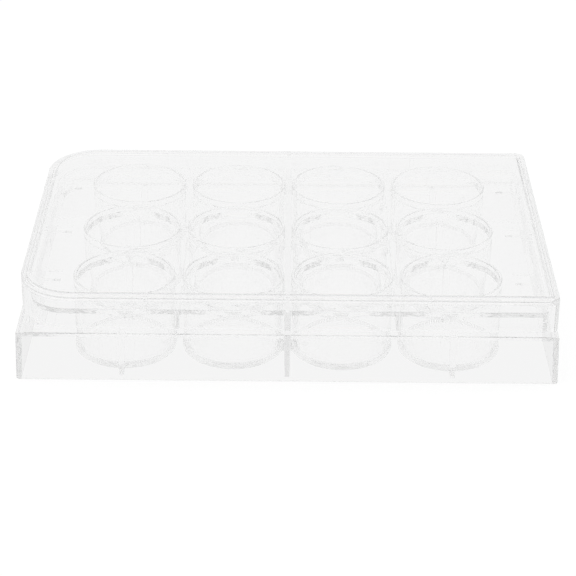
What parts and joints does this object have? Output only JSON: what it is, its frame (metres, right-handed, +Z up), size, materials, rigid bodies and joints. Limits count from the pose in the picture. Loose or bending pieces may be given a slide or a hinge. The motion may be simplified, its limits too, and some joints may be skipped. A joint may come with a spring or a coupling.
{
  "type": "well plate",
  "caption": "Clear rectangular tray of round open wells on a skirted base, with a loose clear lid whose wall stops just above the skirt's ledge; the lid's corners are rounder at one end.",
  "frame": {"origin": "centre of the footprint, on the plane that the skirt's foot stands on", "axes": "+X along the long side, towards the lid's two small-radius corners; +Y along the short side; +Z up, out of the wells"},
  "size_m": [0.1278, 0.0854, 0.0225],
  "materials": {
    "plate_clear": "clear moulded polystyrene, polished",
    "lid_clear": "clear moulded polystyrene, polished"
  },
  "bodies": {
    "root": {"plate": "plate_clear", "lid": "lid_clear"}
  },
  "joints": []
}
